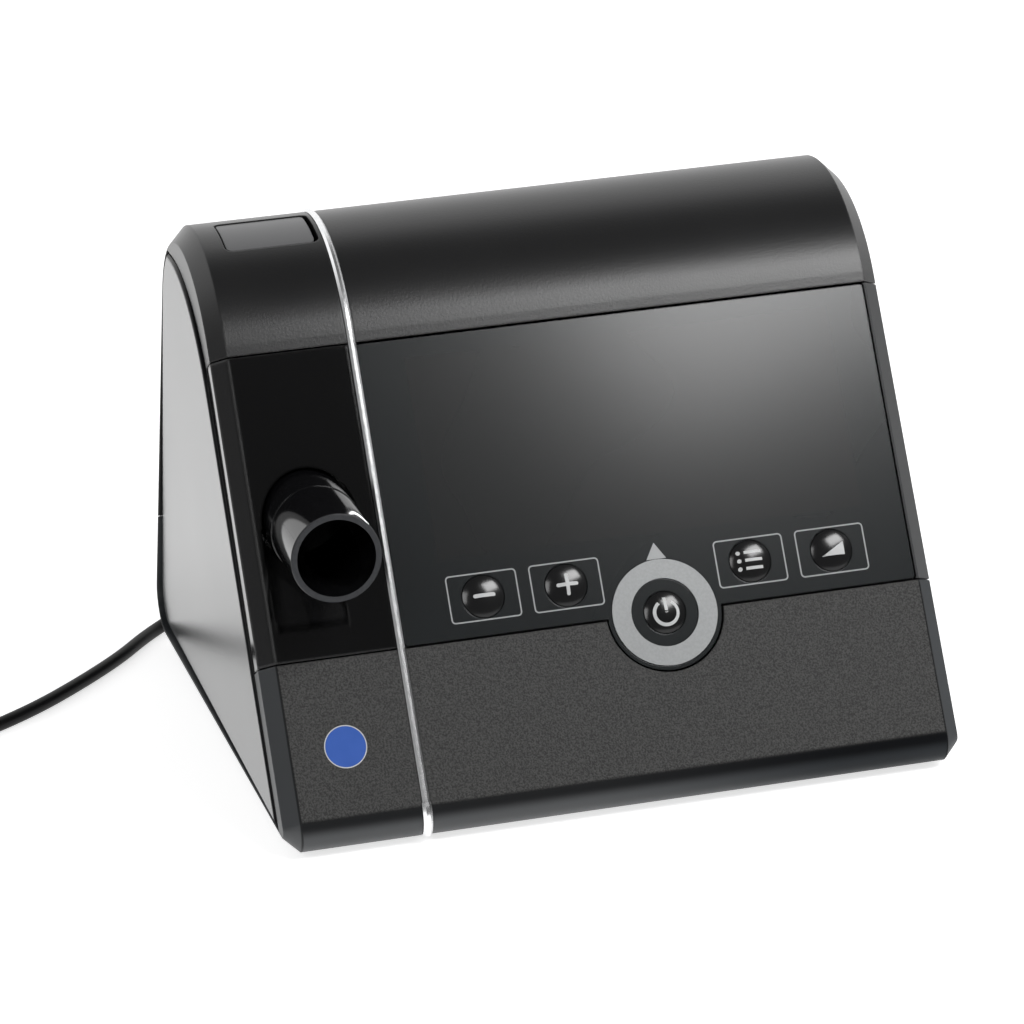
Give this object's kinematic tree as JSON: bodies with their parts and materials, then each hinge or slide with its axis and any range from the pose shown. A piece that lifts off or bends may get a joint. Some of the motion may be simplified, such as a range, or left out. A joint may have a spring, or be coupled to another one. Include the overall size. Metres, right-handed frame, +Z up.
{
  "type": "cpap machine",
  "caption": "Compact bedside CPAP flow generator: a black triangular prism with a round crown, display film, domed keys, glossy port panel with outlet tube, and power lead.",
  "frame": {"origin": "on the table under the middle of the casing", "axes": "+X to the user's right, -Y the sloping front with the display, +Z up"},
  "size_m": [0.3406, 0.187, 0.1357],
  "materials": {
    "lower_shell": "fine texture, matt",
    "upper_shell": "satin",
    "frame": "satin",
    "panel": "gloss",
    "tube": "gloss, matt end",
    "film": "semi-gloss film with printed frames",
    "ring": "satin silver",
    "key": "gloss",
    "chrome": "polished",
    "cover": "smooth satin",
    "button": "satin",
    "inner_plastic": "moulded",
    "white_plastic": "moulded",
    "board": "coated board",
    "lcd": "dark display",
    "steel": "zinc",
    "rubber": "matt",
    "foam": "filter fleece",
    "cord": "smooth",
    "supply": "fine texture"
  },
  "bodies": {
    "casing": {"lower_housing": "lower_shell", "top_housing": "upper_shell", "front_frame": "frame", "port_panel": "panel", "outlet_tube": "tube", "display_film": "film", "power_ring": "ring", "chrome_strip": "chrome", "chrome_strip_end": "chrome", "humidifier_port": "rubber", "humidifier_contacts": "inner_plastic", "release_spring": "steel", "lcd_module": "lcd", "key_board": "board", "frame_screws": "steel", "blower_housing": "inner_plastic", "blower_cover": "inner_plastic", "blower_motor": "steel", "blower_mounts": "rubber", "outlet_duct": "rubber", "intake_duct": "inner_plastic", "main_board": "board", "board_screws": "steel", "housing_screws": "steel", "rubber_feet": "rubber", "dc_inlet": "inner_plastic", "dc_plug": "cord", "cord_strain_relief": "cord", "power_cord": "cord", "cord_coil": "cord", "power_cord_tail": "cord", "cord_tie": "rubber", "power_supply_case": "supply", "power_supply_base": "supply", "supply_relief": "cord", "mains_socket": "inner_plastic"},
    "power_key": {"key_power": "key"},
    "minus_key": {"key_minus": "key"},
    "plus_key": {"key_plus": "key"},
    "menu_key": {"key_menu": "key"},
    "ramp_key": {"key_ramp": "key"},
    "release": {"release_button": "button", "release_latch": "inner_plastic"},
    "cover": {"side_cover": "cover"},
    "filter": {"filter_cover": "upper_shell", "air_filter": "foam"},
    "rotor": {"impeller": "white_plastic"}
  },
  "joints": [
    {"name": "power_key_press", "type": "slide", "parent": "casing", "child": "power_key", "axis": [0, 0.8838, -0.4679], "range_m": [0, 0.0008], "stiffness_N_per_m": 1200},
    {"name": "minus_key_press", "type": "slide", "parent": "casing", "child": "minus_key", "axis": [0, 0.8838, -0.4679], "range_m": [0, 0.0008], "stiffness_N_per_m": 1200},
    {"name": "plus_key_press", "type": "slide", "parent": "casing", "child": "plus_key", "axis": [0, 0.8838, -0.4679], "range_m": [0, 0.0008], "stiffness_N_per_m": 1200},
    {"name": "menu_key_press", "type": "slide", "parent": "casing", "child": "menu_key", "axis": [0, 0.8838, -0.4679], "range_m": [0, 0.0008], "stiffness_N_per_m": 1200},
    {"name": "ramp_key_press", "type": "slide", "parent": "casing", "child": "ramp_key", "axis": [0, 0.8838, -0.4679], "range_m": [0, 0.0008], "stiffness_N_per_m": 1200},
    {"name": "release_press", "type": "slide", "parent": "casing", "child": "release", "axis": [0, 0, -1], "range_m": [0, 0.0025], "stiffness_N_per_m": 800, "deforming": ["release_spring"]},
    {"name": "cover_removal", "type": "slide", "parent": "casing", "child": "cover", "axis": [-1, 0, 0], "range_m": [0, 0.04]},
    {"name": "filter_removal", "type": "slide", "parent": "casing", "child": "filter", "axis": [0, 0.8829, 0.4695], "range_m": [0, 0.03]},
    {"name": "impeller_spin", "type": "hinge", "parent": "casing", "child": "rotor", "pos_m": [0.032, 0.004, 0.026], "axis": [0, 0, 1], "continuous": true}
  ]
}
